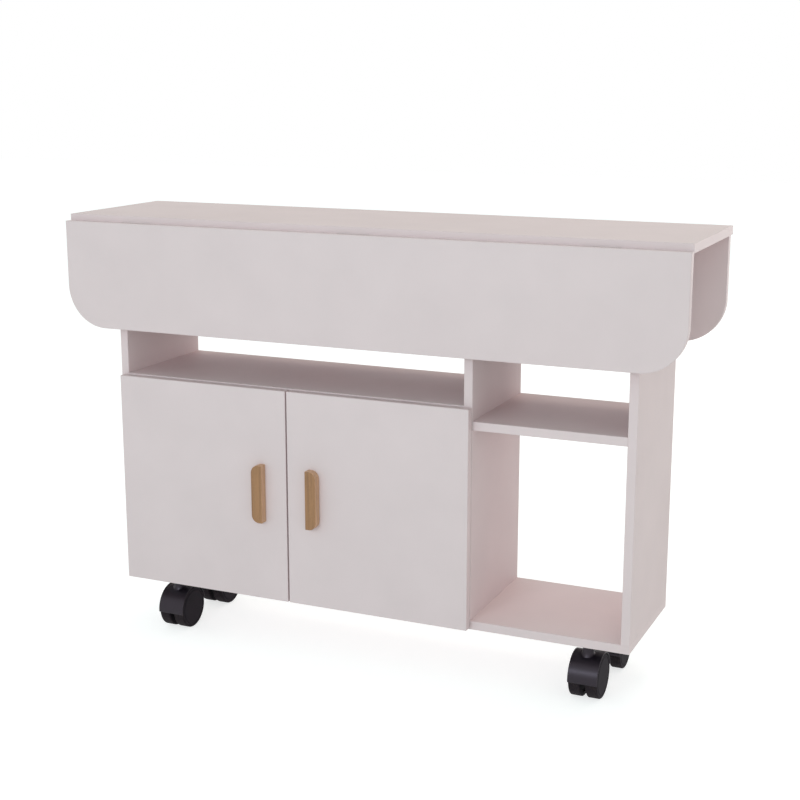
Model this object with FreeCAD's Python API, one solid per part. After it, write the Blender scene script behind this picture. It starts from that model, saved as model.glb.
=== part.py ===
import FreeCAD, Part
import math
import os

# Room service table: a narrow melamine carcase on four hooded twin-wheel casters, under a
# long fixed top with a drop leaf along each side.  Millimetres, +Z up, +X along the top,
# -Y is the front with the doors.  The origin is on the floor under the middle of the top.

V = FreeCAD.Vector

# ---------------------------------------------------------------- driving dimensions: boards
board = 16.0                  # thickness of every melamine-faced board
arris = 0.6                   # eased edge left by the edging cutter
top_length = 1200.0
top_depth = 300.0
carcase_length = 1026.0
carcase_depth = 256.0
panel_height = 688.0          # side panels and divider, from the base up to the top
cabinet_width = 698.0         # inside width of the two-door cabinet
cabinet_clear = 382.0         # inside height of the cabinet
bay_clear = 355.0             # clear height below the open shelf beside the cabinet
back_thickness = 3.0
back_inset = 8.0              # from the rear edge of the carcase to the back panel
groove_depth = 4.0
groove_play = 0.2             # each side of the back panel in its grooves

# ---------------------------------------------------------------- driving dimensions: leaves
leaf_width = 202.0            # how far a leaf hangs down
rear_leaf_length = 1187.0     # its ends stand in from the ends of the top
leaf_corner = 80.0
leaf_gap = 0.5                # between the top's edge and a leaf, hanging or raised
knuckle_radius = 2.0          # also the round on a leaf's hinge edge, about the same pin
knuckle_play = 0.3
pin_radius = 1.0
running_play = 0.05           # radial clearance of a pin or shaft in its bore
hinge_length = 64.0
hinge_inset = 150.0           # from the end of the top to the middle of the end hinges
hinge_count = 3
knuckle_count = 5
plate_width = 20.0
plate_thickness = 1.0
plate_screws = 3
plate_screw_length = 9.5
plate_screw_radius = 1.2
plate_screw_head = 2.0

# ----------------------------------------------------------------- driving dimensions: doors
door_gap = 2.0                # between the door's back and the carcase's front edges
door_reveal = 8.0             # of the left panel's front edge left uncovered
door_seam = 3.0
door_drop = 2.0               # door top below the cabinet shelf's upper face
door_rise = 3.0               # door bottom above the base's underside
bumper_radius = 4.0
bumper_clearance = 0.3        # between a bumper and the edge that the door closes on
bumper_inset = 20.0

# ------------------------------------------------------ driving dimensions: concealed hinges
cup_radius = 17.5
cup_depth = 11.5
cup_wall = 1.2
cup_play = 0.2                # round the cup and under it
cup_setback = 21.5            # door edge to the middle of the cup
cup_end = 80.0                # door end to the middle of the cup
flange_length = 60.0
flange_width = 22.0
flange_offset = 2.0           # flange's middle beyond the cup's
flange_thickness = 1.0
flange_corner = 5.0
flange_screw_pitch = 48.0
flange_screw_radius = 3.0
flange_screw_head = 0.8
link_width = 10.0
link_thickness = 3.0
link_offset = 3.0             # beyond the cup's middle
link_reach = 8.0              # past the door's back
wing_length = 52.0            # mounting plate, across the panel
wing_width = 18.0
wing_thickness = 2.5
wing_corner = 6.0
plate_setback = 37.0          # panel's front edge to the middle of the mounting plate
riser_length = 42.0
riser_width = 16.0
arm_width = 20.0
arm_wall = 1.4
arm_corner = 3.0
arm_low = 8.0                 # arm's near and far sides from the panel's face
arm_high = 16.0
arm_front = 9.5               # panel's front edge to the arm's nose
arm_tail = 26.0               # arm's rear end behind the mounting plate's middle
clamp_length = 18.0
clamp_width = 10.0
arm_screw_radius = 3.4
arm_screw_head = 1.0
arm_screw_offset = 4.0        # behind the mounting plate's middle

# --------------------------------------------------------------- driving dimensions: handles
handle_height = 112.0
handle_width = 22.0
handle_depth = 17.0
handle_corner = 15.0
handle_soft = 2.0             # softened edges of the wood
handle_inset = 44.0           # from the door's free edge to the handle's straight side
handle_centre = 324.0         # height of the handle's middle above the floor
handle_screw_pitch = 64.0
handle_screw_bite = 12.0      # length of screw in the wood

# --------------------------------------------------------------- driving dimensions: casters
caster_height = 111.0
caster_x = 427.0              # from the middle of the table to the swivel axis
caster_reach = 75.0           # from the middle of the cabinet and its doors to the swivel axis
caster_trail = 8.0            # from the swivel axis to the axle
wheel_radius = 41.0
wheel_width = 22.0
wheel_edge = 2.5
wheel_pair_gap = 10.0
hood_wall = 1.5
hood_clearance = 1.0
hood_overhang = 0.5           # hood past the wheels' outer faces
hood_rear_angle = 10.0        # hood's rear lip above the axle
hood_front_angle = 22.0       # hood's front lip below the axle
web_play = 1.0                # between the web and each wheel
wheel_dish = 3.0              # depth of the hollow in a wheel's inner face
wheel_rim = 9.0               # from the tread to the hollow's floor
wheel_groove = 0.8            # depth of the ring groove in the outer face
wheel_groove_width = 2.8
wheel_groove_inset = 5.0      # from the tread
hub_radius = 12.0
axle_radius = 4.0
axle_length = 50.0
axle_end_play = 0.3
neck_radius = 10.0
flange_radius = 17.0
flange_height = 4.0
kingpin_radius = 4.0
kingpin_ring = 0.6            # snap ring's reach beyond the kingpin
kingpin_ring_height = 1.2
kingpin_ring_play = 0.2       # round the snap ring in its groove
kingpin_head = 2.0            # riveted head's reach beyond the kingpin
kingpin_head_height = 1.6
race_radius = 21.0
race_height = 3.5
race_gap = 0.4
caster_plate_side = 60.0
caster_plate_thickness = 2.5
caster_plate_corner = 8.0
caster_screw_pitch = 46.0
caster_screw_bite = 12.5      # length of screw in the base

# -------------------------------------------------------------- driving dimensions: fasteners
fit_play = 0.1                # radial play of screws, dowels and cams in their holes
drill_end = 0.3               # a blind hole's depth beyond what it takes
cam_radius = 7.5
cam_depth = 12.0              # cam's hole, from the board's open face
cam_floor_play = 0.2
cam_sunk = 0.3                # cam's top below the board's face
cam_setback = 24.0            # from the board's end to the middle of the cam
cam_cross = 8.0               # screwdriver cross in the cam's top
cam_cross_width = 1.4
cam_cross_depth = 2.0
bolt_thread_radius = 2.5
bolt_thread_length = 11.0
bolt_collar_radius = 3.0
bolt_collar = 2.0
bolt_shank_radius = 2.0
bolt_head_radius = 3.0
bolt_head = 3.0
bolt_way_radius = 3.6         # bolt's hole in the cam's board, and its way into the cam
cam_row = 88.0                # cams and screws either side of the carcase's middle
dowel_radius = 4.0
dowel_length = 30.0
base_screw_length = 50.0
base_screw_radius = 3.5       # plain collar in the base
base_screw_core = 2.5
base_screw_head = 5.0
base_screw_sink = 3.5
base_screw_point = 4.0
screw_radius = 1.8
screw_head_radius = 3.6
screw_head_height = 2.2
screw_head_round = 0.8
screw_way = 0.3               # extra radius of a hole that a screw passes through

# ------------------------------------------------------------------------ levels and stations
half_top = top_length / 2
half_depth = top_depth / 2
half_carcase = carcase_length / 2
carcase_y = carcase_depth / 2
base_z = caster_height                        # base panel's underside
floor_z = base_z + board                      # base panel's upper face
under_z = floor_z + panel_height              # top board's underside
top_z = under_z + board
left_in = -half_carcase + board               # left side panel's inner face
divider_x = left_in + cabinet_width
divider_right = divider_x + board
right_in = half_carcase - board
shelf_under = floor_z + cabinet_clear
shelf_top = shelf_under + board
side_under = floor_z + bay_clear
side_top = side_under + board
back_y = carcase_y - back_inset - back_thickness

leaf_in = -(half_depth + leaf_gap)            # inner face of the hanging front leaf
leaf_out = leaf_in - board
pin_y = leaf_in - knuckle_radius
pin_z = under_z + knuckle_radius
leaf_top = pin_z + knuckle_radius
leaf_bottom = leaf_top - leaf_width
hinge_stations = [(-half_top + hinge_inset) + n * (top_length - 2 * hinge_inset) / (hinge_count - 1)
                  for n in range(hinge_count)]

door_back = -carcase_y - door_gap
door_front = door_back - board
door_left = -half_carcase + door_reveal
door_width = (divider_right - door_left - door_seam) / 2
door_bottom = base_z + door_rise
door_top = shelf_top - door_drop

caster_middle = (door_front + carcase_y) / 2

axle_z = wheel_radius
hood_in = wheel_radius + hood_clearance
hood_out = hood_in + hood_wall
caster_width = wheel_pair_gap + 2 * wheel_width + 2 * hood_overhang
race_z = caster_height - caster_plate_thickness - race_height - race_gap - axle_z
pin_foot = hood_out + 1.0                     # kingpin's lower end, like race_z above the axle


# ------------------------------------------------------------------------------ small helpers
def box(x0, x1, y0, y1, z0, z1):
    return Part.makeBox(x1 - x0, y1 - y0, z1 - z0, V(x0, y0, z0))


def rod(start, end, radius):
    along = end - start
    return Part.makeCylinder(radius, along.Length, start, along)


def turned(points, centre, axis):
    """A solid of revolution from (distance along axis, radius) points."""
    side = V(0, 0, 1) if abs(axis.z) < 0.5 else V(1, 0, 0)
    wire = Part.makePolygon([centre + axis * a + side * r for a, r in points + points[:1]])
    return Part.Face(wire).revolve(centre, axis, 360)


def union(shapes):
    joined = shapes[0]
    for shape in shapes[1:]:
        joined = joined.fuse(shape)
    return joined.removeSplitter()


def minus(shape, cutters):
    return shape.cut(Part.makeCompound(cutters)) if cutters else shape


def edges_along(shape, axis):
    found = []
    for edge in shape.Edges:
        run = edge.valueAt(edge.LastParameter) - edge.valueAt(edge.FirstParameter)
        if isinstance(edge.Curve, Part.Line) and run.cross(axis).Length < 1e-6:
            found.append(edge)
    return found


def eased(shape, *axes):
    """Ease the straight edges that run along the given axes."""
    return shape.makeChamfer(arris, [edge for axis in axes for edge in edges_along(shape, axis)])


def mirrored(shape):
    return shape.mirror(V(0, 0, 0), V(0, 1, 0))


def save(name, shapes):
    shapes = shapes if isinstance(shapes, list) else [shapes]
    shape = shapes[0] if len(shapes) == 1 else Part.makeCompound(shapes)
    shape.exportStep("parts/%s.step" % name)


X, Y, Z = V(1, 0, 0), V(0, 1, 0), V(0, 0, 1)


# ----------------------------------------------------------------------------- cam fittings
def cam_joint(end, inward, face):
    """One cam fitting.  end is where the bolt crosses the joint, inward points along the
    bolt into the board that holds the cam, face points at the cam's open side."""
    middle = end + inward * cam_setback
    open_face = middle + face * (board / 2)
    cam_floor = open_face - face * cam_depth
    thread_end = end - inward * bolt_thread_length
    head = middle - inward * (cam_radius / 2)
    bolt = union([
        rod(thread_end, end, bolt_thread_radius),
        rod(end, end + inward * bolt_collar, bolt_collar_radius),
        rod(end, head, bolt_shank_radius),
        rod(head, head + inward * bolt_head, bolt_head_radius),
    ])
    cam = rod(cam_floor + face * cam_floor_play, open_face - face * cam_sunk, cam_radius - fit_play)
    bolt_way = rod(end, middle + inward * (cam_radius / 2), bolt_way_radius)
    across = inward.cross(face)
    low, high = cam_cross_depth, cam_cross_depth + 1
    cross = [slot(open_face, face, a, b, low, high) for a, b in ((inward, across), (across, inward))]
    return {
        "bolt": bolt,
        "cam": minus(cam, [bolt_way] + cross),
        "cam_board": [rod(cam_floor, open_face + face, cam_radius), rod(end, middle, bolt_way_radius)],
        "bolt_board": [rod(thread_end - inward * drill_end, end, bolt_thread_radius + fit_play)],
    }


def slot(at, face, along, across, depth, height):
    """One bar of a screwdriver cross, sunk into a cam's top."""
    a = along * (cam_cross / 2)
    c = across * (cam_cross_width / 2)
    low = at - face * depth
    outline = Part.makePolygon([low - a - c, low + a - c, low + a + c, low - a + c, low - a - c])
    return Part.Face(outline).extrude(face * height)


def dowel_joint(end, inward):
    start = end - inward * (dowel_length / 3)
    stop = end + inward * (dowel_length * 2 / 3)
    return {
        "dowel": rod(start, stop, dowel_radius),
        "hole": rod(start - inward * drill_end, stop + inward * drill_end, dowel_radius + fit_play),
    }


def carcase_joints():
    """Cams, bolts and dowels of the carcase, with the holes that each board gets."""
    holes = {name: [] for name in ("table_top", "left_side_panel", "right_side_panel",
                                   "centre_divider", "cabinet_shelf", "side_shelf")}
    cams, bolts, dowels = [], [], []

    def join(end, inward, face, cam_board, bolt_board):
        for row in (-cam_row, cam_row):
            joint = cam_joint(end + Y * row, inward, face)
            cams.append(joint["cam"])
            bolts.append(joint["bolt"])
            holes[cam_board] += joint["cam_board"]
            holes[bolt_board] += joint["bolt_board"]
        # a dowel reaches less deep into the board that the bolt is screwed into
        joint = dowel_joint(end, inward)
        dowels.append(joint["dowel"])
        holes[cam_board].append(joint["hole"])
        holes[bolt_board].append(joint["hole"])

    panels = [("left_side_panel", left_in - board / 2, X),
              ("centre_divider", divider_x + board / 2, -X),
              ("right_side_panel", right_in + board / 2, -X)]
    for name, x, face in panels:
        join(V(x, 0, under_z), -Z, face, name, "table_top")
    shelf_mid = shelf_under + board / 2
    side_mid = side_under + board / 2
    join(V(left_in, 0, shelf_mid), X, -Z, "cabinet_shelf", "left_side_panel")
    join(V(divider_x, 0, shelf_mid), -X, -Z, "cabinet_shelf", "centre_divider")
    join(V(divider_right, 0, side_mid), X, -Z, "side_shelf", "centre_divider")
    join(V(right_in, 0, side_mid), -X, -Z, "side_shelf", "right_side_panel")
    return cams, bolts, dowels, holes


def base_screws():
    """Long countersunk screws, up through the base into the ends of the upright panels."""
    screws, base_holes, panel_holes = [], [], {}
    uprights = {"left_side_panel": left_in - board / 2,
                "centre_divider": divider_x + board / 2,
                "right_side_panel": right_in + board / 2}
    collar = board - bolt_collar
    profile = [(0, 0), (0, base_screw_head), (base_screw_sink, base_screw_radius),
               (collar, base_screw_radius), (collar, base_screw_core),
               (base_screw_length - base_screw_point, base_screw_core), (base_screw_length, 0)]
    clearance = [(-1, 0), (-1, base_screw_head + fit_play), (0, base_screw_head + fit_play),
                 (base_screw_sink, base_screw_radius + fit_play),
                 (board, base_screw_radius + fit_play), (board, 0)]
    for name, x in uprights.items():
        panel_holes[name] = []
        for y in (-cam_row, cam_row):
            foot = V(x, y, base_z)
            screws.append(turned(profile, foot, Z))
            base_holes.append(turned(clearance, foot, Z))
            panel_holes[name].append(rod(foot + Z * (board - 1),
                                         foot + Z * (base_screw_length + drill_end),
                                         base_screw_core + fit_play))
    return screws, base_holes, panel_holes


# ------------------------------------------------------------------------------------ boards
def make_boards(holes, base_holes, panel_holes, caster_holes, hinge_recess):
    boards = {}
    top = eased(box(-half_top, half_top, -half_depth, half_depth, under_z, top_z), X, Y, Z)
    boards["table_top"] = minus(top, holes["table_top"] + hinge_recess)

    groove_y0 = back_y - groove_play
    groove_y1 = back_y + back_thickness + groove_play
    groove = box(left_in - groove_depth, divider_x + groove_depth, groove_y0, groove_y1,
                 floor_z - groove_depth, shelf_under + groove_depth)

    def upright(x0, x1, name, grooved):
        panel = eased(box(x0, x1, -carcase_y, carcase_y, floor_z, under_z), Z)
        return minus(panel, holes[name] + panel_holes[name] + ([groove] if grooved else []))

    boards["left_side_panel"] = upright(-half_carcase, left_in, "left_side_panel", True)
    boards["centre_divider"] = upright(divider_x, divider_right, "centre_divider", True)
    boards["right_side_panel"] = upright(right_in, half_carcase, "right_side_panel", False)

    base = eased(box(-half_carcase, half_carcase, -carcase_y, carcase_y, base_z, floor_z), X, Y)
    boards["base_panel"] = minus(base, base_holes + caster_holes + [groove])
    shelf = eased(box(left_in, divider_x, -carcase_y, carcase_y, shelf_under, shelf_top), X)
    boards["cabinet_shelf"] = minus(shelf, holes["cabinet_shelf"] + [groove])
    side = eased(box(divider_right, right_in, -carcase_y, carcase_y, side_under, side_top), X)
    boards["side_shelf"] = minus(side, holes["side_shelf"])

    reach = groove_depth - groove_play
    boards["cabinet_back"] = box(left_in - reach, divider_x + reach, back_y, back_y + back_thickness,
                                 floor_z - groove_depth, shelf_under + reach)
    return boards


# --------------------------------------------------------------------------- leaves and hinges
def leaf_outline(length, height):
    """A leaf's front outline, square at its top and rounded at its lower corners."""
    r, x1, z0 = leaf_corner, length / 2, leaf_bottom
    bend = r * (1 - math.sqrt(0.5))
    y = leaf_out
    left = Part.Arc(V(-x1, y, z0 + r), V(-x1 + bend, y, z0 + bend), V(-x1 + r, y, z0))
    right = Part.Arc(V(x1 - r, y, z0), V(x1 - bend, y, z0 + bend), V(x1, y, z0 + r))
    edges = [
        Part.LineSegment(V(-x1, y, height), V(-x1, y, z0 + r)), left,
        Part.LineSegment(V(-x1 + r, y, z0), V(x1 - r, y, z0)), right,
        Part.LineSegment(V(x1, y, z0 + r), V(x1, y, height)),
        Part.LineSegment(V(x1, y, height), V(-x1, y, height)),
    ]
    return Part.Wire([edge.toShape() for edge in edges])


def leaf_section():
    """The leaf's end section, with the hinge edge rounded about the pin."""
    r, c = knuckle_radius, arris
    z0, z1 = leaf_bottom - 1, leaf_top
    bend = r * math.sqrt(0.5)
    x = -half_top - 1
    round_edge = Part.Arc(V(x, leaf_in, pin_z), V(x, pin_y + bend, pin_z + bend),
                          V(x, pin_y, leaf_top))
    corners = [V(x, leaf_in, pin_z), V(x, leaf_in, z0), V(x, leaf_out, z0),
               V(x, leaf_out, z1 - c), V(x, leaf_out + c, z1), V(x, pin_y, z1)]
    edges = [round_edge.toShape()]
    edges += [Part.LineSegment(a, b).toShape() for a, b in zip(corners[:-1], corners[1:])]
    wire = Part.Wire(Part.sortEdges(edges)[0])
    return Part.Face(wire).extrude(X * (top_length + 2))


def make_leaf(length, recess):
    slab = Part.Face(leaf_outline(length, leaf_top + 5)).extrude(Y * board)
    rims = [edge for edge in slab.Edges
            if abs(edge.BoundBox.YLength) < 1e-6 and edge.BoundBox.ZMax < leaf_top + 5.1
            and edge.BoundBox.ZMin < leaf_top]
    slab = slab.makeChamfer(arris, rims)
    return minus(slab.common(leaf_section()), recess)


def hinge(station):
    """One let-in butt hinge of the front leaf: plate under the top, plate on the leaf's inner
    face, pin, screws, and what the two boards lose to take them."""
    x0, x1 = station - hinge_length / 2, station + hinge_length / 2
    knuckle = hinge_length / knuckle_count
    stops = [x0 + n * knuckle for n in range(knuckle_count + 1)]
    half_play = knuckle_play / 2
    bore = rod(V(x0 - 1, pin_y, pin_z), V(x1 + 1, pin_y, pin_z), pin_radius + running_play)

    def barrel(n):
        return rod(V(stops[n] + half_play, pin_y, pin_z), V(stops[n + 1] - half_play, pin_y, pin_z),
                   knuckle_radius)

    fixed = [box(x0, x1, -half_depth, -half_depth + plate_width, under_z, under_z + plate_thickness)]
    swung = [box(x0, x1, leaf_in - plate_thickness, leaf_in,
                 under_z - knuckle_play - plate_width, under_z - knuckle_play)]
    for n in range(knuckle_count):
        s0, s1 = stops[n] + half_play, stops[n + 1] - half_play
        if n % 2 == 0:
            tongue = box(s0, s1, pin_y, -half_depth + 1, under_z, under_z + plate_thickness)
            fixed += [tongue, barrel(n)]
        else:
            tongue = box(s0, s1, leaf_in - plate_thickness, leaf_in,
                         under_z - knuckle_play - 1, pin_z)
            swung += [tongue, barrel(n)]
    fixed_plate = union(fixed)
    swung_plate = union(swung)

    top_screws, leaf_screws, top_cuts, leaf_cuts = [], [], [], []
    r, head, length = plate_screw_radius, plate_screw_head, plate_screw_length
    sunk = [(0, 0), (0, head), (plate_thickness, r), (length - r, r), (length, 0)]
    hole = [(-1, 0), (-1, head + fit_play), (0, head + fit_play), (plate_thickness, r + fit_play),
            (length + drill_end, r + fit_play), (length + drill_end, 0)]
    for n in range(plate_screws):
        x = x0 + hinge_length * (n + 0.5) / plate_screws
        up = V(x, -half_depth + plate_width * 0.6, under_z)
        side = V(x, leaf_in, under_z - knuckle_play - plate_width * 0.6)
        top_screws.append(turned(sunk, up, Z))
        top_cuts.append(turned(hole, up, Z))
        leaf_screws.append(turned(sunk, side, -Y))
        leaf_cuts.append(turned(hole, side, -Y))

    notch_in = knuckle_radius + knuckle_play
    notch = box(x0 - knuckle_play, x1 + knuckle_play, pin_y - notch_in, leaf_in + 1,
                under_z - knuckle_play, leaf_top + 1)
    leaf_bed = box(x0 - knuckle_play, x1 + knuckle_play, leaf_in - plate_thickness, leaf_in + 1,
                   under_z - knuckle_play - plate_width, under_z)
    top_bed = box(x0, x1, -half_depth - 1, -half_depth + plate_width, under_z - 1,
                  under_z + plate_thickness)
    return {
        "fixed_plate": minus(fixed_plate, [bore] + top_cuts),
        "leaf_plate": minus(swung_plate, [bore] + leaf_cuts),
        "pin": rod(V(x0, pin_y, pin_z), V(x1, pin_y, pin_z), pin_radius),
        "top_screws": top_screws,
        "leaf_screws": leaf_screws,
        "top_recess": [top_bed] + top_cuts,
        "leaf_recess": [notch, leaf_bed] + leaf_cuts,
    }


def collect(hinges, key):
    found = []
    for item in hinges:
        found += item[key] if isinstance(item[key], list) else [item[key]]
    return found


# ------------------------------------------------------------------------ doors and their fittings
def cup_heights():
    return [door_bottom + cup_end, door_top - cup_end]


def door(x_hinge, side):
    """side is +1 where the door reaches in +X from its hinge edge, -1 where it reaches in -X."""
    x_free = x_hinge + side * door_width
    slab = eased(box(min(x_hinge, x_free), max(x_hinge, x_free), door_front, door_back,
                     door_bottom, door_top), X, Y, Z)
    cuts = []
    for z in cup_heights():
        x = x_hinge + side * cup_setback
        cuts.append(rod(V(x, door_back - cup_depth - cup_play, z), V(x, door_back + 1, z),
                        cup_radius + cup_play))
    x_handle = x_free - side * (handle_inset + handle_width / 2)
    for z in handle_screw_heights():
        cuts.append(rod(V(x_handle, door_front - 1, z), V(x_handle, door_back + 1, z),
                        screw_radius + screw_way))
    return minus(slab, cuts)


def handle_screw_heights():
    return [handle_centre - handle_screw_pitch / 2, handle_centre + handle_screw_pitch / 2]


def handle(x_hinge, side):
    """A wooden block pull: straight side to the seam, its far corners rounded."""
    x_in = x_hinge + side * (door_width - handle_inset)
    x_far = x_in - side * handle_width
    z0 = handle_centre - handle_height / 2
    z1 = handle_centre + handle_height / 2
    r = handle_corner
    bend = r * (1 - math.sqrt(0.5))
    y = door_front
    low = Part.Arc(V(x_far + side * r, y, z0), V(x_far + side * bend, y, z0 + bend),
                   V(x_far, y, z0 + r))
    high = Part.Arc(V(x_far, y, z1 - r), V(x_far + side * bend, y, z1 - bend),
                    V(x_far + side * r, y, z1))
    lines = [(V(x_in, y, z1), V(x_in, y, z0)), (V(x_in, y, z0), V(x_far + side * r, y, z0)),
             (V(x_far, y, z0 + r), V(x_far, y, z1 - r)), (V(x_far + side * r, y, z1), V(x_in, y, z1))]
    edges = [Part.LineSegment(a, b).toShape() for a, b in lines] + [low.toShape(), high.toShape()]
    face = Part.Face(Part.Wire(Part.sortEdges(edges)[0]))
    block = face.extrude(V(0, -handle_depth, 0))
    front = [edge for edge in block.Edges if edge.BoundBox.YMax < y - handle_depth + 0.01]
    block = block.makeFillet(handle_soft, front)
    x_mid = (x_in + x_far) / 2
    bottom = y - handle_screw_bite - drill_end
    holes = [rod(V(x_mid, y, z), V(x_mid, bottom, z), screw_radius + fit_play)
             for z in handle_screw_heights()]
    return minus(block, holes)


def handle_screws(x_hinge, side):
    x = x_hinge + side * (door_width - handle_inset - handle_width / 2)
    return [turned(pan_head_screw(board + handle_screw_bite), V(x, door_back, z), -Y)
            for z in handle_screw_heights()]


def hinge_cup(x_hinge, side, z):
    """Cup let into the door, its screwed flange, and the link that reaches for the arm."""
    x = x_hinge + side * cup_setback
    mouth = V(x, door_back, z)
    bore = cup_radius - cup_wall
    profile = [(-cup_depth, 0), (-cup_depth, cup_radius), (0, cup_radius), (0, bore),
               (cup_wall - cup_depth, bore), (cup_wall - cup_depth, 0)]
    cup = turned(profile, mouth, Y)
    x_flange = x + side * flange_offset
    flange = box(x_flange - flange_width / 2, x_flange + flange_width / 2, door_back,
                 door_back + flange_thickness, z - flange_length / 2, z + flange_length / 2)
    flange = flange.makeFillet(flange_corner, edges_along(flange, Y))
    flange = flange.cut(rod(mouth, mouth + Y * (2 * flange_thickness), bore))
    x_link = x + side * link_offset
    link = box(x_link - link_thickness / 2, x_link + link_thickness / 2,
               door_back - cup_depth + cup_wall, door_back + link_reach,
               z - link_width / 2, z + link_width / 2)
    heads = [rod(V(x_flange, door_back, z + up), V(x_flange, door_back + flange_thickness
                 + flange_screw_head, z + up), flange_screw_radius)
             for up in (-flange_screw_pitch / 2, flange_screw_pitch / 2)]
    return union([cup, flange, link] + heads)


def hinge_arm(x_face, side, z):
    """Winged mounting plate on the panel's inner face, with the hinge's arm clamped on it."""
    y = -carcase_y + plate_setback

    def slab(x0, x1, y0, y1, width):
        a, b = x_face + side * x0, x_face + side * x1
        return box(min(a, b), max(a, b), y0, y1, z - width / 2, z + width / 2)

    wings = slab(0, wing_thickness, y - wing_width / 2, y + wing_width / 2, wing_length)
    wings = wings.makeFillet(wing_corner, edges_along(wings, X))
    riser = slab(0, arm_low, y - riser_length / 2, y + riser_length / 2, riser_width)
    nose, tail = -carcase_y + arm_front, y + arm_tail
    arm = slab(arm_low, arm_high, nose, tail, arm_width)
    arm = arm.makeFillet(arm_corner, edges_along(arm, X))
    inside = slab(arm_low, arm_high - arm_wall, nose - 1, tail - arm_wall, arm_width - 2 * arm_wall)
    y_screw = y + arm_screw_offset
    clamp = slab(arm_low, arm_high, y_screw - clamp_length / 2, y_screw + clamp_length / 2, clamp_width)
    screw = rod(V(x_face + side * arm_high, y_screw, z),
                V(x_face + side * (arm_high + arm_screw_head), y_screw, z), arm_screw_radius)
    return union([wings, riser, arm.cut(inside), clamp, screw])


def bumpers(x_hinge, side):
    x = x_hinge + side * (door_width - bumper_inset)
    height = door_gap - bumper_clearance
    profile = [(0, 0), (0, bumper_radius), (height / 2, bumper_radius),
               (height, bumper_radius * 0.6), (height, 0)]
    return [turned(profile, V(x, door_back, z), Y) for z in (base_z + board / 2, shelf_under + board / 2)]


# ----------------------------------------------------------------------------------- casters
def arc_sector(radius, first, last):
    """A pie slice in the YZ plane about the axle at the origin, angles from +Y towards +Z."""
    def at(angle):
        a = math.radians(angle)
        return V(0, radius * math.cos(a), radius * math.sin(a))
    rim = Part.Arc(at(first), at((first + last) / 2), at(last)).toShape()
    wire = Part.Wire(Part.sortEdges([rim, Part.LineSegment(V(0, 0, 0), at(first)).toShape(),
                                     Part.LineSegment(V(0, 0, 0), at(last)).toShape()])[0])
    return Part.Face(wire)


def slice_solid(radius, first, last, half):
    solid = arc_sector(radius, first, last).extrude(X * (2 * half))
    solid.translate(X * -half)
    return solid


def caster_hood():
    """Hood, centre web and neck in one moulding, about the axle at the origin."""
    first, last = hood_rear_angle, 180 + hood_front_angle
    half = caster_width / 2
    bore = rod(V(-half, 0, 0), V(half, 0, 0), hood_in)
    shell = slice_solid(hood_out, first, last, half).cut(bore)
    web_half = wheel_pair_gap / 2 - web_play
    web = slice_solid(hood_in + hood_wall / 2, first, last, web_half)
    hub = rod(V(-web_half, 0, 0), V(web_half, 0, 0), hub_radius)
    stem = V(0, -caster_trail, 0)
    neck = rod(stem, stem + Z * race_z, neck_radius).cut(bore)
    flange_foot = race_z - 2 * flange_height
    flange = Part.makeCone(neck_radius, flange_radius, flange_height, stem + Z * flange_foot, Z)
    flange = union([flange, rod(stem + Z * (race_z - flange_height), stem + Z * race_z, flange_radius)])
    flange = flange.cut(bore)
    body = union([shell, web, hub, neck, flange])
    r = kingpin_radius + running_play
    groove = r + kingpin_ring + kingpin_ring_play
    low = pin_foot + kingpin_ring_height - kingpin_ring_play
    high = pin_foot + 2 * kingpin_ring_height + kingpin_ring_play
    pin_way = [(pin_foot - drill_end, 0), (pin_foot - drill_end, r), (low, r), (low, groove),
               (high, groove), (high, r), (race_z + 1, r), (race_z + 1, 0)]
    axle_way = rod(V(-half, 0, 0), V(half, 0, 0), axle_radius + running_play)
    return minus(body, [axle_way, turned(pin_way, stem, Z)])


def wheel(side):
    """One wheel, dished on its inner face, with a blind bore.  side is +1 or -1 along X."""
    x0 = wheel_pair_gap / 2
    x1 = x0 + wheel_width
    r, e, d = wheel_radius, wheel_edge, wheel_dish
    steps = 4
    turns = [math.radians(90 * n / steps) for n in range(steps + 1)]
    inner = [(x0 + e - e * math.cos(a), r - e + e * math.sin(a)) for a in turns]
    outer = [(x1 - e + e * math.sin(a), r - e + e * math.cos(a)) for a in turns]
    blind = axle_length / 2 + axle_end_play
    bore = axle_radius + running_play
    hollow = r - wheel_rim
    ring = r - wheel_groove_inset
    ring_in = ring - wheel_groove_width
    g = wheel_groove
    profile = [(x0, bore), (x0, hub_radius), (x0 + d, hub_radius + d / 2), (x0 + d, hollow),
               (x0, hollow + d / 2)]
    profile += inner + outer
    profile += [(x1, ring), (x1 - g, ring - g), (x1 - g, ring_in + g), (x1, ring_in), (x1, 0),
                (blind, 0), (blind, bore)]
    solid = turned(profile, V(0, 0, 0), X)
    return solid if side > 0 else solid.mirror(V(0, 0, 0), X)


def caster_plate():
    """Square mounting plate with its bearing race, about the swivel axis, top face at z 0."""
    h = caster_plate_side / 2
    t = caster_plate_thickness
    plate = box(-h, h, -h, h, -t, 0)
    plate = plate.makeFillet(caster_plate_corner, edges_along(plate, Z))
    race = rod(V(0, 0, -t - race_height), V(0, 0, -t), race_radius)
    r = kingpin_radius + running_play
    seat = r + kingpin_head
    bore = [(-t - race_height - 1, 0), (-t - race_height - 1, r), (-kingpin_head_height, r),
            (0, seat), (1, seat), (1, 0)]
    holes = [rod(V(x, y, -t - 1), V(x, y, 1), screw_radius + screw_way)
             for x, y in caster_screw_places()]
    return minus(union([plate, race]), [turned(bore, V(0, 0, 0), Z)] + holes)


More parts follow.
